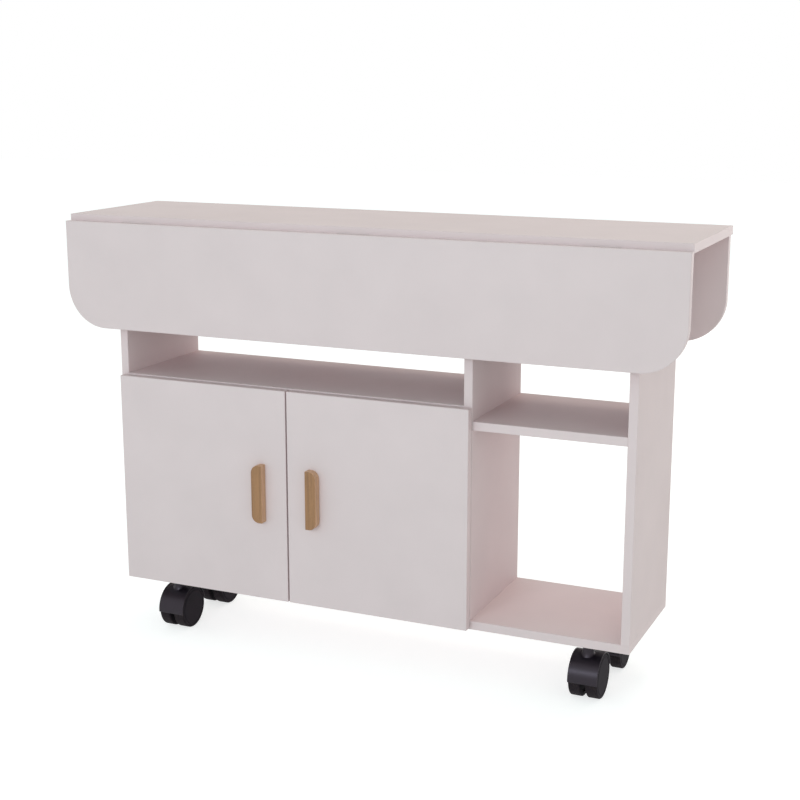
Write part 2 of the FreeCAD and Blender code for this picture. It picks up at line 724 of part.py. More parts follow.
def kingpin():
    """Pin with a countersunk head in the plate and a snap ring in the neck, about the swivel axis."""
    foot = pin_foot + axle_z - caster_height
    k, ring = kingpin_radius, kingpin_radius + kingpin_ring
    low, high = foot + kingpin_ring_height, foot + 2 * kingpin_ring_height
    profile = [(foot, 0), (foot, k), (low, k), (low, ring), (high, ring), (high, k),
               (-kingpin_head_height, k), (0, k + kingpin_head), (0, 0)]
    return turned(profile, V(0, 0, 0), Z)


def caster_screw_places():
    p = caster_screw_pitch / 2
    return [(x, y) for x in (-p, p) for y in (-p, p)]


def pan_head_screw(length):
    """Profile of a pan-head screw, from the head's face at -screw_head_height to its point."""
    r, head, high = screw_radius, screw_head_radius, screw_head_height
    return [(-high, 0), (-high, head - screw_head_round), (screw_head_round - high, head), (0, head),
            (0, r), (length - r, r), (length, 0)]


def moved(shape, x, y, z):
    copy = shape.copy()
    copy.translate(V(x, y, z))
    return copy


# -------------------------------------------------------------------------------------- build
def build():
    os.makedirs("parts", exist_ok=True)

    stations = [(name, sx * caster_x, caster_middle + sy * caster_reach) for name, sx, sy in (
        ("front_left", -1, -1), ("front_right", 1, -1), ("rear_left", -1, 1), ("rear_right", 1, 1))]
    screw_top = base_z + caster_screw_bite + drill_end
    caster_holes = [rod(V(cx + x, cy + y, base_z - 1), V(cx + x, cy + y, screw_top),
                        screw_radius + fit_play)
                    for _, cx, cy in stations for x, y in caster_screw_places()]

    cams, bolts, dowels, holes = carcase_joints()
    screws, base_holes, panel_holes = base_screws()
    hinges = [hinge(x) for x in hinge_stations]
    top_recess = collect(hinges, "top_recess")
    rear_recess = [mirrored(cut) for cut in top_recess]
    boards = make_boards(holes, base_holes, panel_holes, caster_holes, top_recess + rear_recess)
    for name, shape in boards.items():
        save(name, shape)
    save("cam_locks", cams)
    save("cam_bolts", bolts)
    save("wooden_dowels", dowels)
    save("base_screws", screws)

    leaf_recess = collect(hinges, "leaf_recess")
    save("front_leaf", make_leaf(top_length, leaf_recess))
    save("rear_leaf", mirrored(make_leaf(rear_leaf_length, leaf_recess)))
    groups = {"fixed_plate": "hinge_top_plates", "leaf_plate": "hinge_leaf_plates",
              "pin": "hinge_pins", "leaf_screws": "hinge_leaf_screws"}
    for key, name in groups.items():
        shapes = collect(hinges, key)
        save("front_" + name, shapes)
        save("rear_" + name, [mirrored(shape) for shape in shapes])
    top_screws = collect(hinges, "top_screws")
    save("hinge_top_screws", top_screws + [mirrored(shape) for shape in top_screws])

    for name, x_hinge, side, x_face in (("left", door_left, 1, left_in),
                                        ("right", divider_right, -1, divider_x)):
        save(name + "_door", door(x_hinge, side))
        save(name + "_handle", handle(x_hinge, side))
        save(name + "_handle_screws", handle_screws(x_hinge, side))
        save(name + "_hinge_cups", [hinge_cup(x_hinge, side, z) for z in cup_heights()])
        save(name + "_hinge_arms", [hinge_arm(x_face, side, z) for z in cup_heights()])
        save(name + "_door_bumpers", bumpers(x_hinge, side))

    hood, plate, pin = caster_hood(), caster_plate(), kingpin()
    screw = turned(pan_head_screw(caster_plate_thickness + caster_screw_bite), V(0, 0, 0), Z)
    axle = rod(V(-axle_length / 2, 0, 0), V(axle_length / 2, 0, 0), axle_radius)
    for name, cx, cy in stations:
        axle_y = cy + caster_trail
        save(name + "_caster_plate", moved(plate, cx, cy, caster_height))
        save(name + "_caster_hood", moved(hood, cx, axle_y, axle_z))
        save(name + "_caster_axle", moved(axle, cx, axle_y, axle_z))
        save(name + "_left_wheel", moved(wheel(-1), cx, axle_y, axle_z))
        save(name + "_right_wheel", moved(wheel(1), cx, axle_y, axle_z))
    save("kingpins", [moved(pin, cx, cy, caster_height) for _, cx, cy in stations])
    screw_z = caster_height - caster_plate_thickness
    save("caster_screws", [moved(screw, cx + x, cy + y, screw_z)
                           for _, cx, cy in stations for x, y in caster_screw_places()])


build()
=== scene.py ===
import math

import bmesh
import bpy
import numpy as np
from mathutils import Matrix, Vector


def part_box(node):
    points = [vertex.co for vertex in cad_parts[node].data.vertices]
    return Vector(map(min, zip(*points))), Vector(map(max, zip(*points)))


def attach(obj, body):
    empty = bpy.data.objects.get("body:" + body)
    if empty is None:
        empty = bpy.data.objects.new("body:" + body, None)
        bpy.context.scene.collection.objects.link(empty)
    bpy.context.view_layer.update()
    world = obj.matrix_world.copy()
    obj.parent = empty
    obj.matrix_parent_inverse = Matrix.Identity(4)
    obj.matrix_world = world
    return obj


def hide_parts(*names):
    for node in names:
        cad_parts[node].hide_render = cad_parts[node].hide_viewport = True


bl_info = {
    "name": "Room Service Table",
    "version": (1, 0, 0),
    "blender": (4, 5, 0),
    "location": "View3D > Sidebar > Service Table",
    "description": "Boards, leaves, pulls, casters and fittings of a drop-leaf room service table",
    "category": "Add Mesh",
}

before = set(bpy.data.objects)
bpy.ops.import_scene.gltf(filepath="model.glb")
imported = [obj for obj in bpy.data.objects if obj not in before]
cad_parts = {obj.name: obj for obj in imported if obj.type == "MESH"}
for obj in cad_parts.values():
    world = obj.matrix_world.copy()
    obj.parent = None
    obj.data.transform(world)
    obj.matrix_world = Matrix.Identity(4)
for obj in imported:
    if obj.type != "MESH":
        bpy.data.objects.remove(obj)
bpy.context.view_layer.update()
MM = 0.001
CASTERS = ("front_left", "front_right", "rear_left", "rear_right")

# places and sizes of fittings that the boxes of the CAD nodes do not give
HINGE_LENGTH = 64 * MM          # of one leaf hinge, along X
HINGE_PLATE = 1 * MM            # thickness of its plates
HINGE_BARREL = 4 * MM           # diameter of its barrel
HINGE_PLAY = 0.3 * MM           # left round it in the leaf's bed
HINGES = 3                      # along each leaf
CASTER_SCREW_REACH = 23 * MM    # from a caster plate's middle to its screws, along X and Y
BASE_SCREW_Y = 88 * MM          # from the table's middle to the base screws
AXLE_BORE = 4.05 * MM           # radius of the bores in wheels and hubs
HUB = 12 * MM                   # radius of the hubs of wheels and hoods
KINGPIN_BORE = 4.1 * MM         # radius of the kingpin's bore


# --------------------------------------------------------------------------- colour and nodes
def linear(hex_code):
    """An sRGB hex colour as linear red, green, blue and alpha."""
    levels = [int(hex_code[i:i + 2], 16) / 255 for i in (1, 3, 5)]
    return [c / 12.92 if c <= 0.04045 else ((c + 0.055) / 1.055) ** 2.4 for c in levels] + [1.0]


def add(tree, kind, inputs=None, **settings):
    """Add a node with its settings; each input is a socket to link or a value to set."""
    made = tree.nodes.new(kind)
    for name, value in settings.items():
        setattr(made, name, value)
    for key, value in (inputs or {}).items():
        if isinstance(value, bpy.types.NodeSocket):
            tree.links.new(value, made.inputs[key])
        else:
            made.inputs[key].default_value = value
    return made


def new_material(name):
    """An empty material with its shader and its object coordinates."""
    material = bpy.data.materials.new(name)
    material.use_nodes = True
    tree = material.node_tree
    tree.nodes.clear()
    shader = add(tree, "ShaderNodeBsdfPrincipled")
    add(tree, "ShaderNodeOutputMaterial", {"Surface": shader.outputs[0]})
    place = add(tree, "ShaderNodeTexCoord").outputs["Object"]
    return material, tree, shader, place


def maths(tree, operation, a, b=0.0, c=0.0):
    """The outcome of one maths node."""
    return add(tree, "ShaderNodeMath", {0: a, 1: b, 2: c}, operation=operation).outputs[0]


def spread(tree, value, source, target):
    """A value carried from one span to another."""
    ends = {"From Min": source[0], "From Max": source[1], "To Min": target[0], "To Max": target[1]}
    return add(tree, "ShaderNodeMapRange", {"Value": value, **ends}).outputs[0]


def noise(tree, place, size, detail, roughness=0.5, distortion=0.0):
    """Cloudy noise whose largest lumps are about size across."""
    inputs = {"Vector": place, "Scale": 1 / size, "Detail": detail, "Roughness": roughness,
              "Distortion": distortion}
    return add(tree, "ShaderNodeTexNoise", inputs).outputs["Fac"]


def tint(tree, colour, tone):
    """A colour made lighter or darker by a tone about 1."""
    made = add(tree, "ShaderNodeVectorMath", {0: colour, "Scale": tone}, operation="SCALE")
    return made.outputs[0]


def blend(tree, factor, first, second):
    """The first colour where the factor is 0 and the second where it is 1."""
    made = add(tree, "ShaderNodeMix", {"Factor": factor, 6: first, 7: second}, data_type="RGBA")
    return made.outputs[2]


def stretch(tree, place, *scale):
    """Coordinates scaled along each axis; less than 1 draws a pattern out along it."""
    return add(tree, "ShaderNodeMapping", {"Vector": place, "Scale": scale}).outputs[0]


def drive(tree, shader, **values):
    """Link or set sockets of the shader, named with _ for a space."""
    for key, value in values.items():
        socket = shader.inputs[key.replace("_", " ")]
        if isinstance(value, bpy.types.NodeSocket):
            tree.links.new(value, socket)
        else:
            socket.default_value = value


def ramp(tree, value, *stops):
    """A colour ramp through (position, colour) stops."""
    made = add(tree, "ShaderNodeValToRGB", {"Fac": value})
    for stop, (position, colour) in zip(made.color_ramp.elements, stops):
        stop.position, stop.color = position, colour
    return made.outputs[0]


def grain(tree, shader, height, strength, depth):
    """Fine relief, depth millimetres deep."""
    inputs = {"Height": height, "Strength": strength, "Distance": depth * MM}
    drive(tree, shader, Normal=add(tree, "ShaderNodeBump", inputs).outputs[0])


def dress(nodes, material):
    """Give CAD nodes a material."""
    for name in nodes:
        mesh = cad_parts[name].data
        mesh.materials.clear()
        mesh.materials.append(material)


# ------------------------------------------------------------------------- surfaces with numpy
def rounded(corners, closed=True, step=15.0, hold=0.0):
    """Outline through corners (a, b, radius), each turned into an arc of its radius.

    At a corner C with unit directions u and w to its neighbours and half angle h between them,
    the arc's centre is C + (u + w) / |u + w| * radius / sin h, and it starts and ends at
    C + u * radius / tan h and C + w * radius / tan h.  hold adds a point that far past each
    end, and step is the angle between points in degrees."""
    points = []
    count = len(corners)
    for i, (a, b, radius) in enumerate(corners):
        here = np.array((a, b), float)
        if radius <= 0 or (not closed and i in (0, count - 1)):
            points.append(here[None])
            continue
        u = np.array(corners[i - 1][:2], float) - here
        w = np.array(corners[(i + 1) % count][:2], float) - here
        u, w = u / np.linalg.norm(u), w / np.linalg.norm(w)
        half = math.acos(np.clip(u @ w, -1, 1)) / 2
        reach = radius / math.tan(half)
        middle = here + (u + w) / np.linalg.norm(u + w) * radius / math.sin(half)
        first, last = here + u * reach - middle, here + w * reach - middle
        start = math.atan2(first[1], first[0])
        sweep = (math.atan2(last[1], last[0]) - start + math.pi) % (2 * math.pi) - math.pi
        samples = max(2, round(abs(math.degrees(sweep)) / step) + 1)
        turns = start + sweep * np.linspace(0, 1, samples)
        arc = middle + radius * np.stack([np.cos(turns), np.sin(turns)], axis=1)
        if hold:
            arc = np.vstack([arc[:1] + u * hold, arc, arc[-1:] + w * hold])
        points.append(arc)
    return np.vstack(points)


def lathe(profile, count):
    """Surface of revolution about Z: (r cos t, r sin t, h) for each (h, r) of the profile."""
    h, r = np.asarray(profile, float).T
    t = np.linspace(0, 2 * np.pi, count, endpoint=False)
    one = np.ones(count)
    return np.stack([np.outer(r, np.cos(t)), np.outer(r, np.sin(t)), np.outer(h, one)], axis=-1)


def rim(outline, profile):
    """Edge of a plate: each outline point (a, b) moved in by d along its normal at height t,
    so P = (a, b) - normal * d, t, for each (d, t) of the profile.  The normal is the outline's
    central difference turned a quarter."""
    run = np.roll(outline, -1, axis=0) - np.roll(outline, 1, axis=0)
    normal = np.stack([run[:, 1], -run[:, 0]], axis=1)
    normal /= np.linalg.norm(normal, axis=1)[:, None]
    d, t = np.asarray(profile, float).T
    flat = outline[None] - normal[None] * d[:, None, None]
    height = np.broadcast_to(t[:, None, None], flat.shape[:2] + (1,))
    return np.concatenate([flat, height], axis=-1)


def to_axes(points, a, b, c, origin=(0, 0, 0)):
    """Turn (p, q, r) into origin + p a + q b + r c for the three given directions."""
    return points @ np.array([a, b, c], float) + np.array(origin, float)


def skin(name, grids, material, body, nodes, sharp=35.0):
    """One closed mesh from grids (rows x columns x 3) whose columns run in a ring.

    Quad (i, j) joins rows i and i + 1 at columns j and j + 1.  The first and last rows are
    closed with a face each, or with a fan to their middle where they are a pole."""
    verts, faces, base = [], [], 0
    for grid in grids:
        rows, columns = grid.shape[:2]
        index = base + np.arange(rows * columns).reshape(rows, columns)
        after = np.roll(index, -1, axis=1)
        quads = np.stack([index[:-1], after[:-1], after[1:], index[1:]], axis=-1)
        faces += quads.reshape(-1, 4).tolist()
        faces += [index[0, ::-1].tolist(), index[-1].tolist()]
        verts.append(grid.reshape(-1, 3))
        base += rows * columns
    mesh = bpy.data.meshes.new(name)
    mesh.from_pydata(np.vstack(verts), [], faces)
    close_up(mesh)
    mesh.shade_smooth()
    mesh.set_sharp_from_angle(angle=math.radians(sharp))
    mesh.materials.append(material)
    piece = bpy.data.objects.new(name, mesh)
    bpy.context.scene.collection.objects.link(piece)
    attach(piece, body)
    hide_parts(*nodes)
    return piece


def close_up(mesh):
    """Merge the points that meet in poles and turn every face outwards."""
    work = bmesh.new()
    work.from_mesh(mesh)
    bmesh.ops.remove_doubles(work, verts=work.verts, dist=1e-6)
    bmesh.ops.dissolve_degenerate(work, edges=work.edges, dist=1e-7)
    bmesh.ops.recalc_face_normals(work, faces=work.faces)
    work.to_mesh(mesh)
    work.free()


# ------------------------------------------------------------------------------------ settings
class BoardFinish(bpy.types.PropertyGroup):
    """Colours and band of the melamine boards."""
    face: bpy.props.FloatVectorProperty(
        name="Face", description="Colour of the melamine paper on the broad faces",
        subtype="COLOR", size=4, min=0, max=1, default=linear("#DFCBCC"))
    band: bpy.props.FloatVectorProperty(
        name="Edge band", description="Colour of the plastic band on the narrow edges",
        subtype="COLOR", size=4, min=0, max=1, default=linear("#E0CBCC"))
    band_thickness: bpy.props.FloatProperty(
        name="Band thickness", description="Distance from a board's edge to the band's glue line",
        unit="LENGTH", default=0.8 * MM, min=0.2 * MM, max=3 * MM, precision=5)


class PullSizes(bpy.types.PropertyGroup):
    """Edges and wood of the two pulls."""
    corner: bpy.props.FloatProperty(
        name="Corner", description="Radius of a pull's two far corners",
        unit="LENGTH", default=15 * MM, min=2 * MM, max=20 * MM, precision=4)
    soft: bpy.props.FloatProperty(
        name="Soft edge", description="Radius sanded onto a pull's edges",
        unit="LENGTH", default=2 * MM, min=0.5 * MM, max=5 * MM, precision=4)
    wood: bpy.props.FloatVectorProperty(
        name="Wood", description="Main colour of the lacquered beech",
        subtype="COLOR", size=4, min=0, max=1, default=linear("#9B6F4B"))
    # side is a painted highlight: the pulls' sides are painted paler than their fronts, as if lit
    # from the right
    side: bpy.props.FloatVectorProperty(
        name="Side", description="Main colour of the pull's quarter-sawn sides",
        subtype="COLOR", size=4, min=0, max=1, default=linear("#C79B7A"))


class LeafSizes(bpy.types.PropertyGroup):
    """Roundings of the two drop leaves."""
    corner: bpy.props.FloatProperty(
        name="Corner", description="Radius of a leaf's lower corners",
        unit="LENGTH", default=80 * MM, min=5 * MM, max=150 * MM, precision=4)
    arris: bpy.props.FloatProperty(
        name="Arris", description="Radius left by the edging cutter",
        unit="LENGTH", default=0.6 * MM, min=0.2 * MM, max=2 * MM, precision=5)
    knuckle: bpy.props.FloatProperty(
        name="Knuckle", description="Radius of the hinge barrel and of the leaf's hinge edge",
        unit="LENGTH", default=2 * MM, min=1 * MM, max=4 * MM, precision=5)


class CasterSizes(bpy.types.PropertyGroup):
    """Hoods and wheels of the four casters."""
    hood_wall: bpy.props.FloatProperty(
        name="Hood wall", description="Thickness of the hood over the wheels",
        unit="LENGTH", default=1.5 * MM, min=1 * MM, max=4 * MM, precision=5)
    rear_lip: bpy.props.FloatProperty(
        name="Rear lip", description="Angle of the hood's rear lip above the axle",
        unit="ROTATION", default=math.radians(10), min=0, max=math.radians(60))
    front_lip: bpy.props.FloatProperty(
        name="Front lip", description="Angle of the hood's front lip below the axle",
        unit="ROTATION", default=math.radians(5), min=0, max=math.radians(60))
    tread_edge: bpy.props.FloatProperty(
        name="Tread edge", description="Radius between a wheel's tread and its faces",
        unit="LENGTH", default=2.5 * MM, min=0.5 * MM, max=6 * MM, precision=5)
    nylon: bpy.props.FloatVectorProperty(
        name="Nylon", description="Colour of the moulded hoods and wheels",
        subtype="COLOR", size=4, min=0, max=1, default=linear("#130D14"))


class StageSettings(bpy.types.PropertyGroup):
    """Camera lens, sky and the four soft lamps."""
    lens: bpy.props.FloatProperty(
        name="Lens", description="Camera lens on a 36 mm sensor",
        unit="CAMERA", default=66.25, min=20, max=200)
    sky: bpy.props.FloatProperty(
        name="Sky", description="Strength of the even white light from all round",
        default=0.89, min=0, max=2)
    key: bpy.props.FloatProperty(
        name="Key", description="Power of the wide soft lamp in front and above",
        unit="POWER", default=7.0, min=0, max=500)
    low: bpy.props.FloatProperty(
        name="Low lamp", description="Power of the small lamp in front that glints on the casters",
        unit="POWER", default=17.0, min=0, max=500)
    back: bpy.props.FloatProperty(
        name="Back lamp", description="Power of the warm lamp high behind, which lights the top",
        unit="POWER", default=28.0, min=0, max=500)
    shelf: bpy.props.FloatProperty(
        name="Shelf lamp",
        description="Power of the wide lamp low behind, which lights the shelves",
        unit="POWER", default=26.0, min=0, max=500)


SETTINGS = {"st_boards": BoardFinish, "st_pulls": PullSizes, "st_leaves": LeafSizes,
            "st_casters": CasterSizes, "st_stage": StageSettings}


# ----------------------------------------------------------------------------------- materials
def melamine_board(name, node, thickness_axis, corner=0.0):
    """Melamine-faced particle board: printed paper pressed in resin against an etched plate.
    It gives the eye a flat pale face with a very fine pearl, a soft broad sheen, and plastic
    bands round the edges, set off by a hairline of glue."""
    finish = bpy.context.scene.st_boards
    low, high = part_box(node)
    middle, half = (low + high) / 2, (high - low) / 2
    material, tree, shader, place = new_material(name)
    local = add(tree, "ShaderNodeVectorMath", {0: place, 1: middle}, operation="SUBTRACT")
    inset = outline_distance(tree, local.outputs[0], half, thickness_axis, corner)
    band = maths(tree, "LESS_THAN", inset, finish.band_thickness)
    glue_line = 0.12 * MM
    line = maths(tree, "COMPARE", inset, finish.band_thickness, glue_line)

    # print of the paper: clouds about 90 mm across and a pearl of 1.2 mm, drawn three times
    # as coarse as the real 0.4 mm so that it shows in a close view
    cloud_size, pearl_size, patch_size = 90 * MM, 1.2 * MM, 250 * MM
    cloud = noise(tree, place, cloud_size, 3.0)
    pearl = noise(tree, place, pearl_size, 2.0)
    tone = maths(tree, "MULTIPLY_ADD", pearl, 0.35, 0.325)
    tone = spread(tree, maths(tree, "ADD", tone, cloud), (0.75, 1.25), (0.975, 1.02))
    tone = maths(tree, "MULTIPLY", tone, spread(tree, line, (0, 1), (1.0, 0.86)))
    paint = tint(tree, blend(tree, band, finish.face, finish.band), tone)

    # wiped and handled patches about 250 mm across, and the bands a little glossier
    rough = spread(tree, noise(tree, place, patch_size, 4.0, 0.65), (0.3, 0.7), (0.52, 0.64))
    rough = maths(tree, "MULTIPLY_ADD", band, -0.08, rough)
    drive(tree, shader, Base_Color=paint, Roughness=rough, Specular_IOR_Level=0.3)
    grain(tree, shader, pearl, 0.12, 0.05)
    return material


def outline_distance(tree, local, half, thickness_axis, corner):
    """How far a point lies inside a board's outline, seen square to its broad faces.

    For a half size h and q = |p| - h + r it is r - |max(q, 0)| - min(max(q), 0).  A board with a
    corner radius has it at its two lower corners, so there q of z takes -z in place of |z|, and
    the distance to the top edge is taken apart."""
    plain = add(tree, "ShaderNodeVectorMath", {0: local}, operation="ABSOLUTE").outputs[0]
    sizes = add(tree, "ShaderNodeSeparateXYZ", {0: plain})
    signed = add(tree, "ShaderNodeSeparateXYZ", {0: local})
    across = [axis for axis in range(3) if axis != thickness_axis]
    q = [maths(tree, "SUBTRACT", sizes.outputs[axis], half[axis] - corner) for axis in across]
    if corner:
        q[1] = maths(tree, "SUBTRACT", maths(tree, "MULTIPLY", signed.outputs[2], -1.0),
                     half[2] - corner)
    reach = add(tree, "ShaderNodeCombineXYZ", {0: maths(tree, "MAXIMUM", q[0], 0.0),
                                               1: maths(tree, "MAXIMUM", q[1], 0.0)})
    reach = add(tree, "ShaderNodeVectorMath", {0: reach.outputs[0]}, operation="LENGTH")
    inside = maths(tree, "MINIMUM", maths(tree, "MAXIMUM", q[0], q[1]), 0.0)
    inset = maths(tree, "SUBTRACT", corner, maths(tree, "ADD", reach.outputs["Value"], inside))
    if corner:
        inset = maths(tree, "MINIMUM", inset, maths(tree, "SUBTRACT", half[2], signed.outputs[2]))
    return inset


def lacquered_hardboard():
    """Hardboard: wood fibres felted and pressed, sprayed with pale lacquer.  It gives the eye
    a flat thin sheet, a little greyer than the boards, with a short fibrous mottle."""
    material, tree, shader, place = new_material("lacquered_hardboard")
    fibre_size = 4 * MM
    fibre = noise(tree, place, fibre_size, 5.0, 0.7, 0.8)
    paint = ramp(tree, fibre, (0.3, linear("#C2B7B4")), (0.7, linear("#CDC4C2")))
    drive(tree, shader, Base_Color=paint, Roughness=0.55)
    grain(tree, shader, fibre, 0.2, 0.1)
    return material


def lacquered_beech(name, colour, gloss, side=None, front=0.0):
    """Beech, planed and lacquered satin.  It gives the eye a warm tan with straight upright
    grain, soft year rings and the short dark flecks of its rays.  Behind front, a place on Y,
    the sides are painted the paler colour side, a painted highlight for light falling on them
    from the right."""
    material, tree, shader, place = new_material(name)
    # the rings are drawn twice as coarse as the real 3 mm, so that they show on so small a piece
    fibre_size, ring_size, ray_size = 0.7 * MM, 6 * MM, 1.6 * MM
    upright = stretch(tree, place, 1.0, 1.0, 0.045)
    fine = noise(tree, upright, fibre_size, 4.0, 0.6)
    tone = maths(tree, "MULTIPLY", noise(tree, upright, ring_size, 3.0, distortion=0.4), 0.65)
    tone = maths(tree, "MULTIPLY_ADD", fine, 0.35, tone)
    shade = spread(tree, tone, (0.36, 0.62), (0.80, 1.15))
    short = stretch(tree, place, 1.0, 1.0, 0.16)
    fleck = add(tree, "ShaderNodeTexVoronoi", {"Vector": short, "Scale": 1 / ray_size})
    rays = spread(tree, fleck.outputs["Distance"], (0.12, 0.26), (0.78, 1.0))
    shade = maths(tree, "MULTIPLY", shade, rays)
    paint = colour[:3]
    # painted highlight: the sides behind the rounded front edge are painted paler, as if lit from
    # the right
    if side is not None:
        start, end = front + 0.3 * MM, front + 1.6 * MM     # across the rounded front edge
        depth = add(tree, "ShaderNodeSeparateXYZ", {0: place}).outputs[1]
        behind = spread(tree, depth, (start, end), (0, 1))
        # behind is 0 on the front and 1 on the sides that carry the painted highlight
        paint = blend(tree, behind, colour, side)
    rough = spread(tree, fine, (0, 1), (gloss, gloss + 0.16))
    drive(tree, shader, Base_Color=tint(tree, paint, shade), Roughness=rough)
    grain(tree, shader, tone, 0.25, 0.12)
    return material


NYLON_SHEEN = "#F6E9F8"


def moulded_nylon(name, colour, grit, roughness):
    """Glass-filled nylon moulded in a spark-eroded steel mould.  It gives the eye a near black
    with a faint violet, a soft broad highlight and a fine even grit."""
    material, tree, shader, place = new_material(name)
    # grit is the size of a spark's pit in mm, drawn some seven times as coarse as the real
    # 0.1 mm so that it shows in a close view; the melt's flow lines are about 22 mm across
    flow_size = 22 * MM
    spark = noise(tree, place, grit * MM, 3.0, 0.7)
    flow = spread(tree, noise(tree, place, flow_size, 2.0), (0.3, 0.7), (0.85, 1.15))
    rough = spread(tree, spark, (0.3, 0.7), (roughness - 0.06, roughness + 0.10))
    drive(tree, shader, Base_Color=tint(tree, colour[:3], flow), Roughness=rough,
          Specular_IOR_Level=0.5, Specular_Tint=linear(NYLON_SHEEN))
    grain(tree, shader, spark, 0.15, 0.05)
    return material


def worn_tread(name, colour):
    """The same nylon where it rolls: the mould's grit is polished away and fine dust lodges in
    it.  It gives the eye a duller, slightly browner black with scuffs along the way it rolls,
    where the mesh's own attribute worn is 1."""
    material, tree, shader, place = new_material(name)
    rolled = stretch(tree, place, 1.0, 0.25, 0.25)
    worn = add(tree, "ShaderNodeAttribute", attribute_name="worn").outputs["Fac"]
    scuff_size = 1.5 * MM
    scuff = maths(tree, "MULTIPLY", noise(tree, rolled, scuff_size, 5.0, 0.7), worn)
    paint = ramp(tree, scuff, (0.42, colour), (0.78, linear("#352D2A")))
    drive(tree, shader, Base_Color=paint, Roughness=0.75, Specular_IOR_Level=0.2,
          Specular_Tint=linear(NYLON_SHEEN))
    grain(tree, shader, scuff, 0.35, 0.1)
    return material


def plated_steel(name, code, roughness, spangle):
    """Pressed or turned steel with a bright plating.  It gives the eye a cool mirror blurred by
    the metal's rolling, with small cloudy patches where the plating took differently."""
    material, tree, shader, place = new_material(name)
    cloud = noise(tree, place, spangle * MM, 4.0, 0.6)
    tone = spread(tree, cloud, (0.3, 0.7), (0.86, 1.06))
    rough = spread(tree, cloud, (0.3, 0.7), (roughness, roughness + 0.14))
    drive(tree, shader, Base_Color=tint(tree, linear(code)[:3], tone), Roughness=rough,
          Metallic=1.0)
    return material


def clear_polyurethane():
    """Soft polyurethane drop, cast and stuck on.  It gives the eye a small milky lens."""
    material, tree, shader, place = new_material("clear_polyurethane")
    haze_size = 2 * MM
    haze = noise(tree, place, haze_size, 2.0)
    paint = ramp(tree, haze, (0.0, linear("#CFCDC8")), (1.0, linear("#E6E5E1")))
    drive(tree, shader, Base_Color=paint, Roughness=0.18, Transmission_Weight=0.35, IOR=1.48)
    return material


# ----------------------------------------------------------------------------------- operators
class TABLE_OT_boards(bpy.types.Operator):
    """Finish the fixed boards and the doors in melamine with banded edges"""
    bl_idname = "service_table.boards"
    bl_label = "Boards and doors"

    def execute(self, context):
        thickness = {"table_top": 2, "base_panel": 2, "cabinet_shelf": 2, "side_shelf": 2,
                     "left_side_panel": 0, "centre_divider": 0, "right_side_panel": 0,
                     "left_door": 1, "right_door": 1}
        for node, axis in thickness.items():
            dress([node], melamine_board("melamine_board_" + node, node, axis))
        dress(["cabinet_back"], lacquered_hardboard())
        return {"FINISHED"}


class TABLE_OT_leaves(bpy.types.Operator):
    """Build the two drop leaves, round-cornered and let in for their hinges"""
    bl_idname = "service_table.leaves"
    bl_label = "Drop leaves"

    def execute(self, context):
        sizes = context.scene.st_leaves
        for side in ("front", "rear"):
            node = side + "_leaf"
            material = melamine_board("melamine_leaf_" + side, node, 1, sizes.corner)
            build_leaf(node, side, sizes, material)
        return {"FINISHED"}


def build_leaf(node, side, sizes, material):
    """A board carried round its outline: P = outline - normal * d at depth t, where (d, t) is
    the edge's section, rounded by the knuckle's radius along the hinge edge and by the arris
    elsewhere.  Between a hinge's ends in x the section steps in for its barrel and plate."""
    low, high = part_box(node)
    way = -1.0 if side == "front" else 1.0
    r, arris, knuckle = sizes.corner, sizes.arris, sizes.knuckle
    x1, z0, z1 = high.x, low.z, high.z
    thick = high.y - low.y
    plates = hinge_beds(side)
    stations = np.array([x for bed in plates for x in (bed[0], bed[0], bed[1], bed[1])])
    arc = np.radians(np.arange(0, 91, 3))
    right = np.stack([x1 - r + r * np.sin(arc), z0 + r - r * np.cos(arc)], axis=1)
    left = right[::-1] * (-1, 1)
    tip = 0.2 * MM              # cut off the two upper corners
    top = np.stack([stations[::-1], np.full(len(stations), z1)], axis=1)
    corner = np.array([(x1, z1 - knuckle), (x1, z1 - tip), (x1 - tip, z1), (x1 - knuckle, z1)])
    outline = np.vstack([left, right, corner, top, corner[::-1] * (-1, 1)])
    normal = np.zeros_like(outline)
    n = len(left)
    normal[:n] = np.stack([-np.sin(arc[::-1]), -np.cos(arc[::-1])], axis=1)
    normal[n:2 * n] = np.stack([np.sin(arc), -np.cos(arc)], axis=1)
    normal[2 * n:2 * n + 2] = (1, 0)
    normal[2 * n + 2:-2] = (0, 1)
    normal[-2:] = (-1, 0)
    hinge_edge = (normal[:, 1] > 0.5)
    inner = np.where(hinge_edge, knuckle, arris)

    steps = 7                   # rows of the section's first rounding
    turn = np.radians(np.linspace(0, 90, steps))[:, None]
    end = np.radians(np.linspace(0, 90, 4))[:, None]
    flat = np.ones((1, len(outline)))
    waist = 0.6 * thick         # a row of points along the edge between its roundings
    d = np.vstack([inner * (1 - np.sin(turn)), 0 * flat, arris * (1 - np.cos(end)) * flat])
    t = np.vstack([inner * (1 - np.cos(turn)), flat * waist,
                   (thick - arris + arris * np.sin(end)) * flat])
    x = outline[None, :, 0] - normal[None, :, 0] * d
    z = outline[None, :, 1] - normal[None, :, 1] * d
    # where the hinge edge meets an end, neither rounding passes the other
    reach_x = x1 - d[:, :1]
    reach_z = z1 - d[:, 2 * n + 2:2 * n + 3]
    x = np.clip(x, -reach_x, reach_x)
    z = np.minimum(z, reach_z)

    # step the section in at the inner two of the four columns that stand at each hinge
    for k, (_, _, z_bed, z_notch, bed, notch) in enumerate(reversed(plates)):
        first = 2 * n + len(corner) + 4 * k + 1
        cols = slice(first, first + 2)
        heights = [z_bed, z_bed, z_notch, z_notch, z1, z1, z1]
        depths = [0, bed, bed, notch, notch, notch + tip, notch + 2 * tip]
        z[:steps, cols] = np.array(heights)[:, None]
        t[:steps, cols] = np.array(depths)[:, None]
    face = low.y if side == "rear" else high.y
    grid = np.stack([x, face + way * t, z], axis=-1)
    skin(node + "_board", [grid], material, node, [node], sharp=20)


